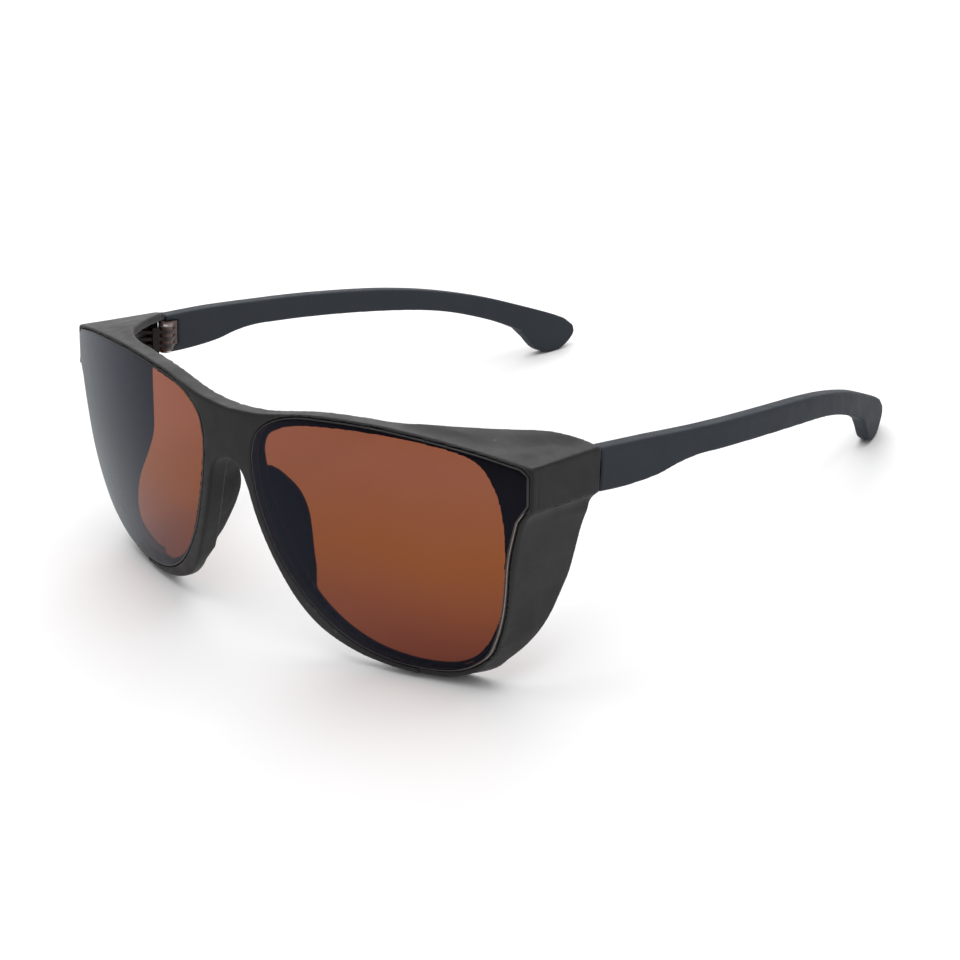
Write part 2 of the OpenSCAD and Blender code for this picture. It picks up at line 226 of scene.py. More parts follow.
def surface_net(field, low, step):
    """Points and quads of the closed surface where a field on a grid is zero."""
    cells = np.array(field.shape) - 1
    inside = field < 0
    flats, points, quads = [], [], []
    for axis in range(3):
        near, far = [slice(None)] * 3, [slice(None)] * 3
        near[axis], far[axis] = slice(None, -1), slice(1, None)
        near, far = tuple(near), tuple(far)
        edge = np.argwhere(inside[near] != inside[far])
        a, b = field[near][tuple(edge.T)], field[far][tuple(edge.T)]
        point = edge.astype(float)
        point[:, axis] += a / (a - b)
        ring = []
        for step_1, step_2 in ((0, 0), (-1, 0), (-1, -1), (0, -1)):
            cell = edge.copy()
            cell[:, (axis + 1) % 3] += step_1
            cell[:, (axis + 2) % 3] += step_2
            flat = np.ravel_multi_index(cell.T, cells)
            ring.append(flat)
            flats.append(flat)
            points.append(point)
        quad = np.stack(ring, 1)
        quad[a > 0] = quad[a > 0][:, ::-1]
        quads.append(quad)
    cell_ids, index = np.unique(np.concatenate(flats), return_inverse=True)
    points = np.concatenate(points)
    count = np.bincount(index)
    middle = np.stack([np.bincount(index, points[:, k]) / count for k in range(3)], 1)
    quads = np.searchsorted(cell_ids, np.concatenate(quads))
    return middle * step + np.asarray(low, float), quads


def mirrored(points, quads):
    """The same surface on the other side of the middle plane."""
    return points * (-1, 1, 1), quads[:, ::-1]


def to_row(points):
    """Design-frame points in mm, moved to the row frame in m."""
    c, s = math.cos(REST_TILT), math.sin(REST_TILT)
    turn = np.array([[1, 0, 0], [0, c, s], [0, -s, c]])
    return (points @ turn.T + (0, REST_SHIFT, REST_LIFT)) * MM


def make_piece(name, points, faces, material, nodes, body, slot):
    """A smooth-shaded mesh object that stands for CAD nodes and rides on a body."""
    mesh = bpy.data.meshes.new(name)
    mesh.from_pydata(to_row(points).tolist(), [], [list(f) for f in faces])
    mesh.update()
    mesh.shade_smooth()
    piece = bpy.data.objects.new(name, mesh)
    bpy.context.scene.collection.objects.link(piece)
    mesh.materials.append(material)
    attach(piece, body)
    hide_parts(*nodes)
    return piece


# ---- materials ----

NOISE_ROUGHNESS = 0.55
GRAIN_DETAIL = 2.0
# The part of a noise's range in which most of its values lie
MIDDLE = (0.3, 0.7)
# Soft-touch plastic: size of its clouds and of its uneven gloss, how uneven that gloss is,
# from what to what sharpness an edge turns paler as a painted highlight, how much paler,
# and the grain's depth
CLOUD_MM = 14.0
UNEVEN_MM = 4.0
UNEVEN = 0.06
SHARPNESS = (0.53, 0.6)
EDGE_HIGHLIGHT_SHARE = 0.65
SOFT_GRAIN_DEPTH_MM = 0.012
# Lens: heights above the table at which its tint changes, in m, and how they wander
TINT_LOW = 0.008
TINT_MID = 0.028
TINT_HIGH = 0.046
TINT_WAVE_MM = 25.0
TINT_WAVE = 0.002
# Lens coating: its colour seen straight on and at a flat angle, and where it changes
COATING_FACING = (0.48, 0.56, 0.8)
COATING_GRAZING = (0.66, 0.70, 0.73)
COATING_TURN = (0.35, 0.8)
SMUDGE_MM = 9.0
LENS_ROUGHNESS = (0.015, 0.045)
# Metal: size and shade of its spots, its uneven gloss, and its grain
SPOT_MM = 1.2
SPOT_SHADE = 0.72
METAL_UNEVEN_MM = 0.6
METAL_UNEVEN = 0.08
METAL_GRAIN_MM = 0.25
METAL_GRAIN_DEPTH_MM = 0.01


def new_material(name):
    """A node material with its shader and its object coordinates, in metres."""
    material = bpy.data.materials.new(name)
    material.use_nodes = True
    nodes = material.node_tree.nodes
    nodes.clear()
    output = nodes.new("ShaderNodeOutputMaterial")
    place = nodes.new("ShaderNodeTexCoord").outputs["Object"]
    return material, nodes, material.node_tree.links, output, place


def noise(nodes, links, place, size_mm, detail=3.0):
    """Noise whose features are about that large."""
    node = nodes.new("ShaderNodeTexNoise")
    node.inputs["Scale"].default_value = 1.0 / (size_mm * MM)
    node.inputs["Detail"].default_value = detail
    node.inputs["Roughness"].default_value = NOISE_ROUGHNESS
    links.new(place, node.inputs["Vector"])
    return node.outputs["Fac"]


def remap(nodes, links, value, from_low, from_high, to_low, to_high):
    """A value mapped from one range to another, and kept inside it."""
    node = nodes.new("ShaderNodeMapRange")
    links.new(value, node.inputs["Value"])
    for key, number in (("From Min", from_low), ("From Max", from_high),
                        ("To Min", to_low), ("To Max", to_high)):
        node.inputs[key].default_value = number
    return node.outputs["Result"]


def mix_colour(nodes, links, factor, first, second):
    """Two colours, or a colour and a socket, mixed by a factor."""
    node = nodes.new("ShaderNodeMix")
    node.data_type = "RGBA"
    links.new(factor, node.inputs["Factor"])
    for socket, value in (("A", first), ("B", second)):
        target = [i for i in node.inputs if i.name == socket and i.type == "RGBA"][0]
        if isinstance(value, tuple):
            target.default_value = (*value, 1.0)
        else:
            links.new(value, target)
    return [o for o in node.outputs if o.type == "RGBA"][0]


def grain_bump(nodes, links, place, grain_mm, depth_mm):
    """Normals roughened by a fine grain."""
    node = nodes.new("ShaderNodeBump")
    node.inputs["Distance"].default_value = depth_mm * MM
    node.inputs["Strength"].default_value = 1.0
    grain = noise(nodes, links, place, grain_mm, GRAIN_DETAIL)
    links.new(grain, node.inputs["Height"])
    return node.outputs["Normal"]


def soft_touch(name, dark, light, edge, roughness, specular, grain_mm=0.16):
    """Moulded plastic with a soft-touch coat: fine grain, faint cloudiness, and a painted
    highlight, a paler colour, on sharp edges.
    """
    material, nodes, links, output, place = new_material(name)
    shader = nodes.new("ShaderNodeBsdfPrincipled")
    cloud = remap(nodes, links, noise(nodes, links, place, CLOUD_MM), 0.2, 0.8, 0, 1)
    base = mix_colour(nodes, links, cloud, dark, light)
    geometry = nodes.new("ShaderNodeNewGeometry")
    # Sharp edges are mixed toward the edge colour: a painted highlight
    edge_highlight = remap(nodes, links, geometry.outputs["Pointiness"], *SHARPNESS, 0, EDGE_HIGHLIGHT_SHARE)
    base = mix_colour(nodes, links, edge_highlight, base, edge)
    links.new(base, shader.inputs["Base Color"])
    rough = noise(nodes, links, place, UNEVEN_MM)
    links.new(remap(nodes, links, rough, *MIDDLE, roughness - UNEVEN, roughness + UNEVEN),
              shader.inputs["Roughness"])
    shader.inputs["Specular IOR Level"].default_value = specular
    links.new(grain_bump(nodes, links, place, grain_mm, SOFT_GRAIN_DEPTH_MM),
              shader.inputs["Normal"])
    links.new(shader.outputs["BSDF"], output.inputs["Surface"])
    return material


def tinted_lens(name, low, mid, high, ior):
    """Brown see-through lens: tinted light straight through, and a clear gloss on top.
    Each ray crosses two faces of the lens, and only the one it enters by is glossy."""
    material, nodes, links, output, place = new_material(name)
    split = nodes.new("ShaderNodeSeparateXYZ")
    links.new(place, split.inputs["Vector"])
    cloud = remap(nodes, links, noise(nodes, links, place, TINT_WAVE_MM), *MIDDLE,
                  -TINT_WAVE, TINT_WAVE)
    height = nodes.new("ShaderNodeMath")
    links.new(split.outputs["Z"], height.inputs[0])
    links.new(cloud, height.inputs[1])
    lower = remap(nodes, links, height.outputs["Value"], TINT_LOW, TINT_MID, 0, 1)
    upper = remap(nodes, links, height.outputs["Value"], TINT_MID, TINT_HIGH, 0, 1)
    tint = mix_colour(nodes, links, lower, low, mid)
    tint = mix_colour(nodes, links, upper, tint, high)
    through = nodes.new("ShaderNodeBsdfTransparent")
    links.new(tint, through.inputs["Color"])
    gloss = nodes.new("ShaderNodeBsdfGlossy")
    coating = nodes.new("ShaderNodeLayerWeight").outputs["Facing"]
    shift = remap(nodes, links, coating, *COATING_TURN, 0, 1)
    links.new(mix_colour(nodes, links, shift, COATING_FACING, COATING_GRAZING),
              gloss.inputs["Color"])
    smudge = noise(nodes, links, place, SMUDGE_MM)
    links.new(remap(nodes, links, smudge, 0.35, 0.7, *LENS_ROUGHNESS),
              gloss.inputs["Roughness"])
    fresnel = nodes.new("ShaderNodeFresnel")
    fresnel.inputs["IOR"].default_value = ior
    leaving = nodes.new("ShaderNodeNewGeometry").outputs["Backfacing"]
    entering = remap(nodes, links, leaving, 0, 1, 1, 0)
    share = nodes.new("ShaderNodeMath")
    share.operation = "MULTIPLY"
    links.new(fresnel.outputs["Fac"], share.inputs[0])
    links.new(entering, share.inputs[1])
    mixed = nodes.new("ShaderNodeMixShader")
    links.new(share.outputs["Value"], mixed.inputs["Fac"])
    links.new(through.outputs["BSDF"], mixed.inputs[1])
    links.new(gloss.outputs["BSDF"], mixed.inputs[2])
    links.new(mixed.outputs["Shader"], output.inputs["Surface"])
    return material


def metal(name, colour, roughness, metallic=1.0):
    """Satin metal with fine grain and slightly uneven gloss."""
    material, nodes, links, output, place = new_material(name)
    shader = nodes.new("ShaderNodeBsdfPrincipled")
    spots = remap(nodes, links, noise(nodes, links, place, SPOT_MM), *MIDDLE, 0, 1)
    darker = tuple(SPOT_SHADE * c for c in colour)
    links.new(mix_colour(nodes, links, spots, darker, colour), shader.inputs["Base Color"])
    shader.inputs["Metallic"].default_value = metallic
    rough = noise(nodes, links, place, METAL_UNEVEN_MM)
    links.new(remap(nodes, links, rough, *MIDDLE, roughness - METAL_UNEVEN,
                    roughness + METAL_UNEVEN), shader.inputs["Roughness"])
    links.new(grain_bump(nodes, links, place, METAL_GRAIN_MM, METAL_GRAIN_DEPTH_MM),
              shader.inputs["Normal"])
    links.new(shader.outputs["BSDF"], output.inputs["Surface"])
    return material


# The third colour of each soft-touch material is the painted highlight on its sharp edges
frame_plastic = soft_touch("frame_soft_touch", (0.0155, 0.0148, 0.016),
                           (0.0205, 0.0196, 0.0212), (0.05, 0.048, 0.05), 0.52, 0.17)
shield_plastic = soft_touch("shield_soft_touch", (0.0172, 0.0172, 0.0182),
                            (0.0225, 0.0225, 0.0238), (0.05, 0.048, 0.05), 0.52, 0.2)
pad_rubber = soft_touch("pad_rubber", (0.0055, 0.0054, 0.006), (0.008, 0.0078, 0.0087),
                        (0.008, 0.0078, 0.0087), 0.6, 0.12, 0.2)
temple_plastic = soft_touch("temple_soft_touch", (0.032, 0.037, 0.045),
                            (0.038, 0.044, 0.053), (0.06, 0.067, 0.078), 0.58, 0.08)
lens_tint = tinted_lens("lens_tint", (0.43, 0.222, 0.155), (0.475, 0.257, 0.125),
                        (0.49, 0.278, 0.198), 1.27)
lens_edge = metal("lens_edge", (0.02, 0.018, 0.018), 0.4, 0.0)
# Pale brown on part of the lens bevel: a painted glint over the material's real gloss
lens_bevel_glint = metal("lens_bevel_glint", (0.30, 0.22, 0.19), 0.3, 0.0)
leaf_metal = metal("hinge_leaf_brown", (0.13, 0.085, 0.08), 0.55, 0.3)
block_metal = metal("hinge_block_dark", (0.05, 0.048, 0.05), 0.5, 0.4)
steel = metal("screw_steel", (0.45, 0.44, 0.44), 0.32)
spring_steel = metal("spring_steel", (0.55, 0.55, 0.57), 0.25)


# ---- frame front and side shields ----

# Grid steps for the frame and for a shield, and the corners of their grids
FRAME_STEP = 0.34
SHIELD_STEP = 0.26
FRONT_LOW = (0, -1.6, -51.2)
FRAME_HIGH = (73.6, 37.6, 5.4)
SHIELD_HIGH = (74.4, 37.6, -7.6)
SHIELD_MARGIN = 1.5
# Roundings: front edges, rim's rear edge low on the nose side and elsewhere, hood's rear
# edge, lower edges of the hood and end pieces, cavity, its corners, and the eye opening
FRONT_EDGE_R = 0.5
REAR_EDGE_R = 2.9
REAR_EDGE_MIN_R = 0.05
HOOD_EDGE_R = 0.45
LOWER_EDGE_R = 0.12
CAVITY_R = 1.4
CAVITY_CORNER_R = 0.7
EYE_EDGE_R = 0.35
# Start and length of the stretch, downward, in which the rim's rear edge gets rounder, and
# the x up to which it is round, with the length over which that fades
REAR_ROUND_DOWN = (35, 6)
REAR_ROUND_END = 40
REAR_ROUND_FADE = 10
# Gaps between lens and pocket: beside the lens and behind it
LENS_GAP = 0.16
POCKET_GAP = 0.06
# Gaps between the shield's piece and the end piece, and around the piece's room
SEAM = 0.03
ROOM_GAP = 0.04
# How far the rim's side stays inside the line of the end piece's outer face
RIM_INSET = 0.15
# How far that line runs on in front of the end piece, as a share of its length
FACE_AHEAD = 0.3
# Plan view: two points in front of everything, which close the hood's outline
PLAN_AHEAD = [(74, -4), (0, -4)]
# The y in front of which an end piece's wall gets thicker, and by how much per mm
WALL_THICK_Y = 18
WALL_THICK_SLOPE = 0.5
# Gusset: middle and half its thickness across the face, edge rounding, the depth at which
# it starts and the hood's cover over it
GUSSET_X = 67.1
GUSSET_HALF_T = 0.55
GUSSET_EDGE_R = 0.3
GUSSET_START = 3
GUSSET_COVER = 1
# How far the hood rises from the brow line to its rear edge: the height, the width along
# the rear edge, the stretch in which it begins going back, and going outward, and its end
HOOD_RISE = 0.8
RISE_EDGE = 9
RISE_BACK = (1, 5)
RISE_OUTWARD = (38, 9)
RISE_END = 69
RISE_FADE = 8
# Depth of the shield's front edge, and how far its top is tucked into the end piece
SHIELD_FRONT = 0.45
SHIELD_TUCK = 0.4
# How deep the shield's piece takes in the rim's skin, and the x at which it starts
SKIN_DEPTH = 2.2
SHIELD_START = 44.5
# From there the shield may stand back from the rim: slope and curve of that line
START_SLOPE = 0.45
START_CURVE = 0.1
# Shield: roundings of its front edge, rear edge and inner corner, how far its solid front
# runs on behind the rim, and its gaps to the end piece's face
SHIELD_FRONT_R = 0.6
SHIELD_REAR_R = 0.45
SHIELD_CORNER_R = 0.9
SHIELD_RUN_ON = 0.9
FACE_GAP = 0.02
FACE_STEP = 0.25
# Side view (y, z): points that close the shield's outline in front of everything
SHIELD_AHEAD = [(-5, 0), (36.2, 0)]
SHIELD_BELOW = [(-5, -53)]
# How far a shield flares out at its lower rear edge, and the start and length of the
# stretches, downward, backward and outward, in which the flare begins
FLARE = 1.5
FLARE_DOWN = (27, 11)
FLARE_BACK = (1, 6)
FLARE_OUTWARD = (40, 8)
# Distance below the top at which the skin starts to be drawn in under the end piece
DRAW_IN_START = 12.5
# How much wider the eye opening is at the back, toward the nose and down
EYE_UNDERCUT = (2.4, 1.2)
UNDERCUT_STEPS = 6
# Keeps a place in a table short of its last line
TABLE_END = 0.001

brow_curve = spline(BROW)
side_curve = spline(SIDE)
nose_curve = spline(NOSE)
lens_top_curve = spline(LENS_TOP)
lens_low_curve = spline(LENS_LOW)
rim_outline = both_sides(np.vstack([brow_curve, side_curve, nose_curve]))
lens_outline = np.vstack([lens_top_curve, LENS_CORNER, lens_low_curve[:-1]])
hood_rear_curve = spline(HOOD_REAR)
shield_rear_curve = spline(SHIELD_REAR)
eye_outline = spline(EYE, 4, True)


def block_face(y):
    """x of an end piece's outer face."""
    t = (y - BLOCK_FRONT[1]) / (BLOCK_REAR[1] - BLOCK_FRONT[1])
    return BLOCK_FRONT[0] + np.maximum(t, -FACE_AHEAD) * (BLOCK_REAR[0] - BLOCK_FRONT[0])


def skin_outline(x, y, z, d, lines_x, table):
    """Distance to the front outline carried back, drawn in under the end piece and
    flared out at the bottom of the shield."""
    near_block = ramp(z, -DRAW_IN_START, DRAW_IN_START - WALL_H)
    drawn_in = (BLOCK_FRONT[0] - block_face(y)) * near_block
    flare = FLARE * ramp(-z, *FLARE_DOWN) * ramp(d, *FLARE_BACK)
    flare = flare * ramp(x, *FLARE_OUTWARD)
    place = (x + drawn_in - flare - lines_x[0]) / (lines_x[1] - lines_x[0])
    place = np.clip(place, 0, len(lines_x) - 1 - TABLE_END)
    cell = place.astype(int)
    part = place - cell
    row = np.broadcast_to(np.arange(table.shape[1])[None, None, :], cell.shape)
    return table[cell, row] * (1 - part) + table[cell + 1, row] * part


class FrontGrid:
    """A grid over the front, from x = 0 outward, with the fields its pieces share."""

    def __init__(self, low, high, step):
        self.x, self.y, self.z = x, y, z = grid_lines(low, high, step)
        self.lines_x = x[:, 0, 0]
        self.d = d = depth(x, y, z)
        self.outline = outline_distance(rim_outline, x, z)
        self.skin = skin_outline(x, y, z, d, self.lines_x, self.outline[:, 0, :])
        self.face = block_face(y)
        straight = outline_distance(eye_outline, x, z)
        back = np.clip((d - LENS_T) / (RIM_T - LENS_T), 0, 1) * UNDERCUT_STEPS
        undercut = np.zeros(d.shape)
        for k in range(UNDERCUT_STEPS + 1):
            move_x, move_z = (v * k / UNDERCUT_STEPS for v in EYE_UNDERCUT)
            moved = outline_distance(eye_outline, x + move_x, z + move_z)
            undercut += np.maximum(1 - np.abs(back - k), 0) * moved
        self.eye = np.minimum(straight, undercut)
        self.pocket = np.maximum(outline_distance(lens_outline, x, z) - LENS_GAP,
                                 d - LENS_T - POCKET_GAP)


def frame_field(grid):
    """Brow, rims and bridge, then the hood and the end piece's wall around their cavity."""
    x, y, z, d, face = grid.x, grid.y, grid.z, grid.d, grid.face
    plan = outline_distance(
        both_sides(np.vstack([hood_rear_curve, [BLOCK_FRONT], PLAN_AHEAD])), x, y)
    rise = smooth_step(1 + plan / RISE_EDGE) * ramp(x, *RISE_OUTWARD)
    rise = rise * ramp(-x, -RISE_END, RISE_FADE)
    brow = np.interp(grid.lines_x, *brow_curve.T)[:, None, None]
    top = z - brow - HOOD_RISE * rise * ramp(d, *RISE_BACK)
    rim = meet(grid.outline, -d, FRONT_EDGE_R)
    back_r = REAR_EDGE_R * ramp(-z, *REAR_ROUND_DOWN)
    back_r = back_r * ramp(-x, -REAR_ROUND_END, REAR_ROUND_FADE)
    rim = meet(rim, d - RIM_T, back_r + REAR_EDGE_MIN_R)
    rim = np.maximum(rim, x - face + RIM_INSET)
    slab = meet(meet(top, plan, HOOD_EDGE_R), -d, FRONT_EDGE_R)
    slab = meet(slab, -WALL_H - z, LOWER_EDGE_R)
    thicker = np.maximum(0, WALL_THICK_Y - y) * WALL_THICK_SLOPE
    inner_wall = x - (face - WALL_T) + thicker
    cavity = meet(top + HOOD_T, RIM_T - d, CAVITY_R)
    cavity = meet(cavity, inner_wall, CAVITY_CORNER_R)
    body = np.maximum(np.minimum(rim, slab), -cavity)
    gusset = outline_distance(np.array(GUSSET), y, z)
    gusset = meet(gusset, np.abs(x - GUSSET_X) - GUSSET_HALF_T, GUSSET_EDGE_R)
    gusset = np.maximum(np.maximum(gusset, GUSSET_START - d), top + GUSSET_COVER)
    body = np.minimum(body, gusset)
    room = np.maximum(-SKIN_DEPTH - grid.outline, SHIELD_START - x)
    room = np.maximum(room, z + WALL_H + SEAM)
    body = meet(body, -grid.eye, EYE_EDGE_R)
    return np.maximum(body, np.maximum(-grid.pocket, ROOM_GAP - room))


def shield_field(grid):
    """The rim's outer skin on the temple side, carried back as a thin wall."""
    x, y, z, d, skin = grid.x, grid.y, grid.z, grid.d, grid.skin
    rear = outline_distance(
        np.vstack([SHIELD_AHEAD, shield_rear_curve, SHIELD_BELOW]), y, z)
    wall = np.abs(skin + SHIELD_T / 2) - SHIELD_T / 2
    wall = meet(wall, rear, SHIELD_REAR_R)
    inside = meet(skin + SHIELD_T, RIM_T - d, SHIELD_CORNER_R)
    shield = np.maximum(meet(skin, SHIELD_FRONT - d, SHIELD_FRONT_R), -inside)
    shield = np.maximum(shield, np.minimum(d - RIM_T - SHIELD_RUN_ON, wall))
    along = np.maximum(x - SHIELD_START, 0)
    stand_back = START_SLOPE * along + START_CURVE * along ** 2
    shield = np.maximum(shield, d - RIM_T - stand_back)
    shield = np.maximum(shield, np.maximum(-SKIN_DEPTH - skin, SHIELD_START - x))
    top_end = z + WALL_H - SHIELD_TUCK
    shield = meet(shield, -grid.eye, EYE_EDGE_R)
    shield = np.maximum(shield, np.maximum(-grid.pocket, top_end))
    past_face = x - grid.face + FACE_GAP
    inside_wall = np.minimum(past_face + FACE_STEP, z + WALL_H)
    return np.maximum(shield, np.maximum(past_face, inside_wall))


def build_front():
    """The frame as one mirrored mesh, and the two side shields."""
    body = frame_field(FrontGrid(FRONT_LOW, FRAME_HIGH, FRAME_STEP))
    whole = np.concatenate([body[:0:-1], body])
    low_whole = (-FRAME_STEP * (body.shape[0] - 1), *FRONT_LOW[1:])
    make_piece("frame_shell", *surface_net(whole, low_whole, FRAME_STEP), frame_plastic,
               ["frame_front"], "frame", "frame_polymer")
    low = (SHIELD_START - SHIELD_MARGIN, *FRONT_LOW[1:])
    shield = shield_field(FrontGrid(low, SHIELD_HIGH, SHIELD_STEP))
    points, quads = surface_net(shield, low, SHIELD_STEP)
    for side, mesh in (("left", (points, quads)), ("right", mirrored(points, quads))):
        make_piece("side_shield_skin_" + side, *mesh, shield_plastic,
                   ["side_shield_" + side], "frame", "shield_polymer")


# ---- nose pads ----

# Grid step and the corners of a pad's grid
PAD_STEP = 0.3
PAD_GRID = (3, 1, -49), (32, 17, -9)
# Half a pad's thickness, and how far its root stays inside the rim's outline
PAD_R = 1.35
PAD_INSET = 0.15
# How deep the root's middle lies in the rim, and how deep the pad reaches into the rim
PAD_ROOT_SUNK = 0.8
PAD_BURIED = 0.5
# Smallest reach of the free edge behind the root
PAD_REACH = 0.1
# Top and bottom of a pad, each with its rounding
PAD_TOP = -12.6
PAD_TOP_R = 1.2
PAD_BOTTOM = -38.6
PAD_BOTTOM_R = 2.0
# The rim's nose side is the stretch of its lower outline beyond this x
NOSE_SIDE_X = 2


def build_pads():
    """Soft pads that sweep back from the nose side of the rims."""
    low, high = PAD_GRID
    x, y, z = grid_lines(low, high, PAD_STEP)
    heights = z[0, 0]
    nose_side = nose_curve[nose_curve[:, 0] > NOSE_SIDE_X]
    root_x = np.interp(heights, nose_side[:, 1], nose_side[:, 0]) + PAD_R + PAD_INSET
    edge = spline(PAD_EDGE)[::-1]
    edge_x = np.interp(heights, edge[:, 0], edge[:, 1])
    edge_y = np.interp(heights, edge[:, 0], edge[:, 2])
    root_y = at_depth(root_x, heights, RIM_T - PAD_ROOT_SUNK)
    ex, ey = edge_x - root_x, np.maximum(edge_y - root_y, PAD_REACH)
    t = np.clip(((x - root_x) * ex + (y - root_y) * ey) / (ex * ex + ey * ey), 0, 1)
    pad = np.hypot(x - root_x - t * ex, y - root_y - t * ey) - PAD_R
    pad = meet(pad, z - PAD_TOP, PAD_TOP_R)
    pad = meet(pad, PAD_BOTTOM - z, PAD_BOTTOM_R)
    pad = np.maximum(pad, RIM_T - PAD_BURIED - depth(x, y, z))
    pad = np.maximum(pad, outline_distance(rim_outline, x, z))
    mesh = surface_net(pad, low, PAD_STEP)
    for side, one in (("left", mesh), ("right", mirrored(*mesh))):
        make_piece("nose_pad_soft_" + side, *one, pad_rubber, ["nose_pad_" + side], "frame",
                   "pad_rubber")


# ---- lenses ----

# Points round a lens, rings from its middle to its bevel, and how they crowd outward
LENS_POINTS = 400
LENS_RINGS = 22
RING_CROWDING = 1.3
# Bevel of a lens's edge: how far inside the outline, and how deep
LENS_BEVEL = [(0.30, 0.0), (0.16, 0.03), (0.06, 0.10), (0.0, 0.26)]
# The widest ring of the edge, as a share of the lens's thickness
EDGE_MIDDLE = 0.6
# The bevel's third ring gets a painted glint, a pale colour over real gloss, beyond this x and
# below this z
GLINT_BEVEL_RING = 2
GLINT_X = 52
GLINT_Z = -9


def resampled(outline, count):
    """The closed outline as that many evenly spaced points."""
    closed = np.vstack([outline, outline[:1]])
    along = np.concatenate([[0], np.cumsum(np.linalg.norm(np.diff(closed, axis=0), axis=1))])
    where = np.linspace(0, along[-1], count, endpoint=False)
    return np.stack([np.interp(where, along, closed[:, k]) for k in range(2)], 1)


def drawn_inside(outline, gap):
    """The outline moved inward by gap."""
    ahead, behind = np.roll(outline, -1, 0), np.roll(outline, 1, 0)
    run = ahead - behind
    run = run / np.linalg.norm(run, axis=1)[:, None]
    return outline + gap * np.stack([run[:, 1], -run[:, 0]], 1)


def lens_faces(outline, ring_count, flat_count):
    """Faces over a lens's rings, and each one's material: tint, dark edge or the bevel's
    painted glint.
    """
    count = len(outline)
    last = 1 + ring_count * count
    edge_rings = range(flat_count, ring_count - 1 - flat_count)
    glint_ring = flat_count + GLINT_BEVEL_RING
    faces, materials = [], []
    for k in range(count):
        after = (k + 1) % count
        # Material 2 paints a glint, a pale colour, on one ring of the bevel on the temple side
        glinting = outline[k, 0] > GLINT_X and outline[k, 1] < GLINT_Z
        faces.append([0, 1 + after, 1 + k])
        faces.append([last, last - count + k, last - count + after])
        materials += [0, 0]
        for r in range(ring_count - 1):
            a, b = 1 + r * count, 1 + (r + 1) * count
            faces.append([a + k, a + after, b + after, b + k])
            materials.append(2 if glinting and r == glint_ring else int(r in edge_rings))
    return faces, materials


def build_lenses():
    """Curved lenses with dark edges, and a painted glint on the bevel on the temple side."""
    outline = resampled(lens_outline, LENS_POINTS)
    middle = outline.mean(0)
    inner = drawn_inside(outline, LENS_BEVEL[0][0])
    spread = np.linspace(0, 1, LENS_RINGS + 1)[1:-1]
    spread = 1 - (1 - spread) ** RING_CROWDING
    rings = [(middle + s * (inner - middle), 0.0) for s in spread]
    rings += [(drawn_inside(outline, gap), d) for gap, d in LENS_BEVEL]
    rings += [(outline, EDGE_MIDDLE * LENS_T)]
    back = [(p, LENS_T - d) for p, d in rings[:-1]]
    rings += back[::-1]
    points = [(middle[0], at_depth(*middle, 0.0), middle[1])]
    for ring, d in rings:
        ys = at_depth(ring[:, 0], ring[:, 1], d)
        points += list(zip(ring[:, 0], ys, ring[:, 1]))
    points.append((middle[0], at_depth(*middle, LENS_T), middle[1]))
    points = np.array(points)
    faces, materials = lens_faces(outline, len(rings), len(spread))
    for side, sign in (("left", 1), ("right", -1)):
        turned = faces if sign > 0 else [f[::-1] for f in faces]
        piece = make_piece("lens_tinted_" + side, points * (sign, 1, 1), turned, lens_tint,
                           ["lens_" + side], "frame", "lens_brown")
        piece.data.materials.append(lens_edge)
        piece.data.materials.append(lens_bevel_glint)
        piece.data.polygons.foreach_set("material_index", materials)


# ---- temples ----

# Grid step, edge rounding and the corners of a temple's grid, across its middle plane
TEMPLE_STEP = 0.35
TEMPLE_EDGE_R = 0.65
TEMPLE_GRID = (-3.4, 35.2, -24.6), (3.4, 157.4, 1.8)
# Recess for the leaf's head: outer face, rear end, bottom and top
RECESS_X = 70.1
RECESS_Y = 40.1
RECESS_Z = (-7.24, -1.3)
# Channel for the guide bar: middle and half its width across the face and in height,
# and its rear end
CHANNEL_X = (69.85, 0.75)
CHANNEL_Z = (-4.4, 2.1)
CHANNEL_Y = 47.6


def build_temples():
    """Temples with rounded edges, a recess for the hinge leaf and a hooked tip."""
    low, high = TEMPLE_GRID
    u, y, z = grid_lines(low, high, TEMPLE_STEP)
    lines_y = y[0, :, 0]
    outer = spline(TEMPLE_OUT)
    middle_x = np.interp(lines_y, outer[:, 1], outer[:, 0]) - TEMPLE_T / 2
    slope = np.gradient(middle_x, lines_y)
    lean = (1 / np.sqrt(1 + slope ** 2))[None, :, None]
    side_view = np.vstack([spline(TEMPLE_TOP), spline(TEMPLE_TIP), spline(TEMPLE_LOW)])
    profile = outline_distance(side_view, y, z)
    flat = (np.abs(u) - TEMPLE_T / 2) * lean
    solid = meet(profile, flat, TEMPLE_EDGE_R)
    x = u + middle_x[None, :, None]
    head = np.maximum(x - RECESS_X, y - RECESS_Y)
    head = np.maximum(head, np.maximum(RECESS_Z[0] - z, z - RECESS_Z[1]))
    channel = np.maximum(np.abs(x - CHANNEL_X[0]) - CHANNEL_X[1], y - CHANNEL_Y)
    channel = np.maximum(channel, np.abs(z - CHANNEL_Z[0]) - CHANNEL_Z[1])
    solid = np.maximum(solid, -np.minimum(head, channel))
    points, quads = surface_net(solid, low, TEMPLE_STEP)
    points[:, 0] += np.interp(points[:, 1], lines_y, middle_x)
    for side, mesh in (("left", (points, quads)), ("right", mirrored(points, quads))):
        make_piece("temple_arm_" + side, *mesh, temple_plastic, ["temple_" + side],
                   side + "_temple", "temple_polymer")


# ---- hinges: the CAD parts stay and get their finish ----


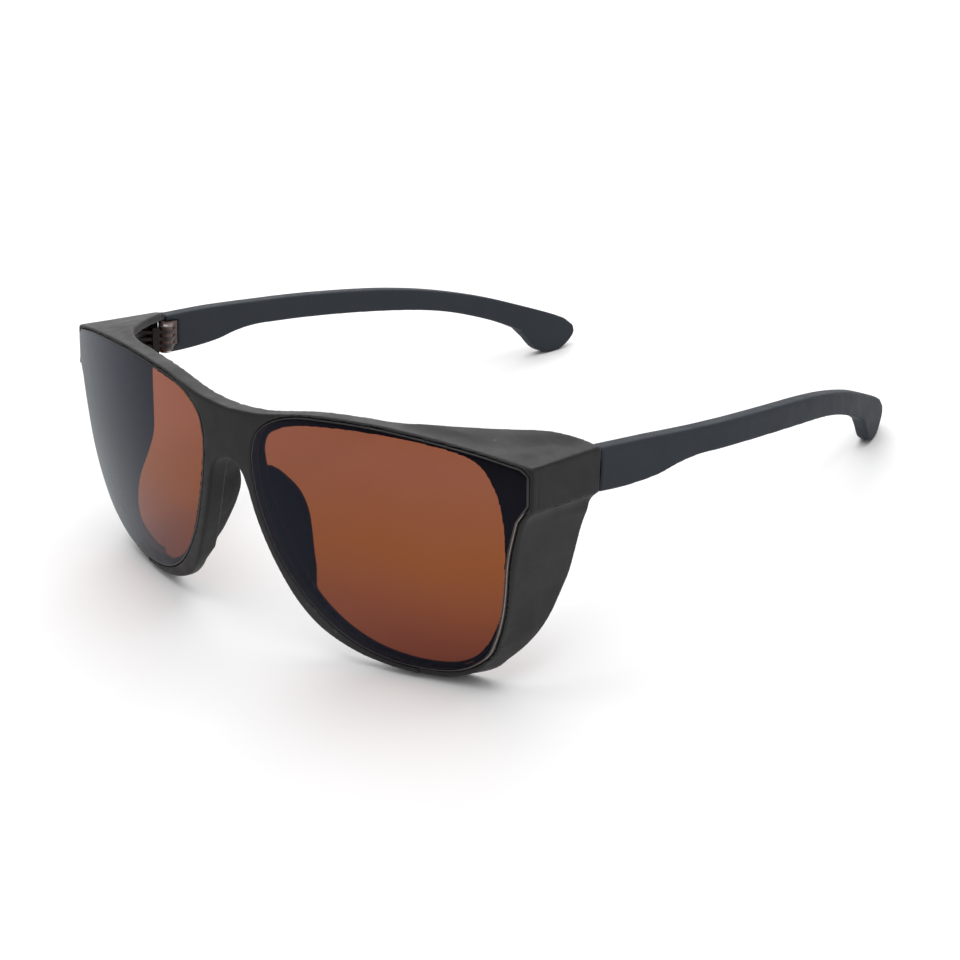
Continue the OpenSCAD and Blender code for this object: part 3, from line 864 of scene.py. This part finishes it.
def finish_hinges():
    """Metal finishes for the hinge parts."""
    finishes = {"hinge_block": block_metal, "hinge_screw": steel, "hinge_slider": leaf_metal,
                "spring_pin": steel, "flex_spring": spring_steel, "spring_stop": leaf_metal}
    for name, material in finishes.items():
        for side in ("left", "right"):
            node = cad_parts[name + "_" + side]
            node.data.materials.clear()
            node.data.materials.append(material)


# ---- floor, light and camera ----

# Half the floor's side in m, and the size of its faint flecks
FLOOR_HALF = 3.0
FLECK_MM = 60.0
WORLD_STRENGTH = 0.48
# Lights: name, place, where it aims, size in m and watts
LIGHTS = [
    ("softbox_above", (0.0, 0.1, 1.1), (0.0, 0.0, 0.0), (1.4, 1.4), 12.0),
    ("softbox_behind", (-0.75, 0.75, 0.55), (0.0, 0.0, 0.0), (1.0, 0.7), 5.0),
]


def build_stage():
    """A plain pale floor, soft light from above and from behind, and a pale surround."""
    mesh = bpy.data.meshes.new("floor")
    corners = [(-1, -1), (1, -1), (1, 1), (-1, 1)]
    mesh.from_pydata([(FLOOR_HALF * x, FLOOR_HALF * y, 0) for x, y in corners],
                     [], [(0, 1, 2, 3)])
    floor = bpy.data.objects.new("floor", mesh)
    bpy.context.scene.collection.objects.link(floor)
    material, nodes, links, output, place = new_material("floor_paper")
    paper = nodes.new("ShaderNodeBsdfDiffuse")
    fleck = remap(nodes, links, noise(nodes, links, place, FLECK_MM), *MIDDLE, 0, 1)
    links.new(mix_colour(nodes, links, fleck, (0.93, 0.93, 0.935), (0.95, 0.95, 0.95)),
              paper.inputs["Color"])
    links.new(paper.outputs["BSDF"], output.inputs["Surface"])
    mesh.materials.append(material)

    world = bpy.data.worlds.new("surround")
    bpy.context.scene.world = world
    world.use_nodes = True
    background = world.node_tree.nodes["Background"]
    background.inputs["Color"].default_value = (1.0, 1.0, 1.0, 1.0)
    background.inputs["Strength"].default_value = WORLD_STRENGTH
    for name, place, aim, size, watts in LIGHTS:
        lamp = bpy.data.lights.new(name, "AREA")
        lamp.shape = "RECTANGLE"
        lamp.size, lamp.size_y = size
        lamp.energy = watts
        item = bpy.data.objects.new(name, lamp)
        bpy.context.scene.collection.objects.link(item)
        item.location = place
        item.rotation_euler = (Vector(aim) - Vector(place)).to_track_quat("-Z", "Y").to_euler()


# Camera: place in metres, and its view in degrees from +Y toward -X, below level, and roll
CAMERA_PLACE = (0.37003, -0.33756, 0.24003)
CAMERA_TURN = 48.19
CAMERA_DIP = 25.15
CAMERA_ROLL = -7.10
CAMERA_LENS_MM = 90.0
CAMERA_SENSOR_MM = 36.0
CAMERA_NEAR = 0.01


def build_camera():
    """The camera at the photo's viewing angle."""
    camera = bpy.data.cameras.new("camera")
    camera.lens = CAMERA_LENS_MM
    camera.sensor_width = CAMERA_SENSOR_MM
    camera.clip_start = CAMERA_NEAR
    item = bpy.data.objects.new("camera", camera)
    bpy.context.scene.collection.objects.link(item)
    turn, dip = math.radians(CAMERA_TURN), math.radians(CAMERA_DIP)
    view = Vector((-math.sin(turn) * math.cos(dip), math.cos(turn) * math.cos(dip),
                   -math.sin(dip)))
    level = view.to_track_quat("-Z", "Y").to_matrix()
    rolled = level @ Matrix.Rotation(math.radians(CAMERA_ROLL), 3, "Z")
    item.matrix_world = Matrix.Translation(CAMERA_PLACE) @ rolled.to_4x4()
    bpy.context.scene.camera = item


build_camera()
build_front()
build_pads()
build_lenses()
build_temples()
finish_hinges()
build_stage()
bpy.context.scene.view_settings.view_transform = "Standard"
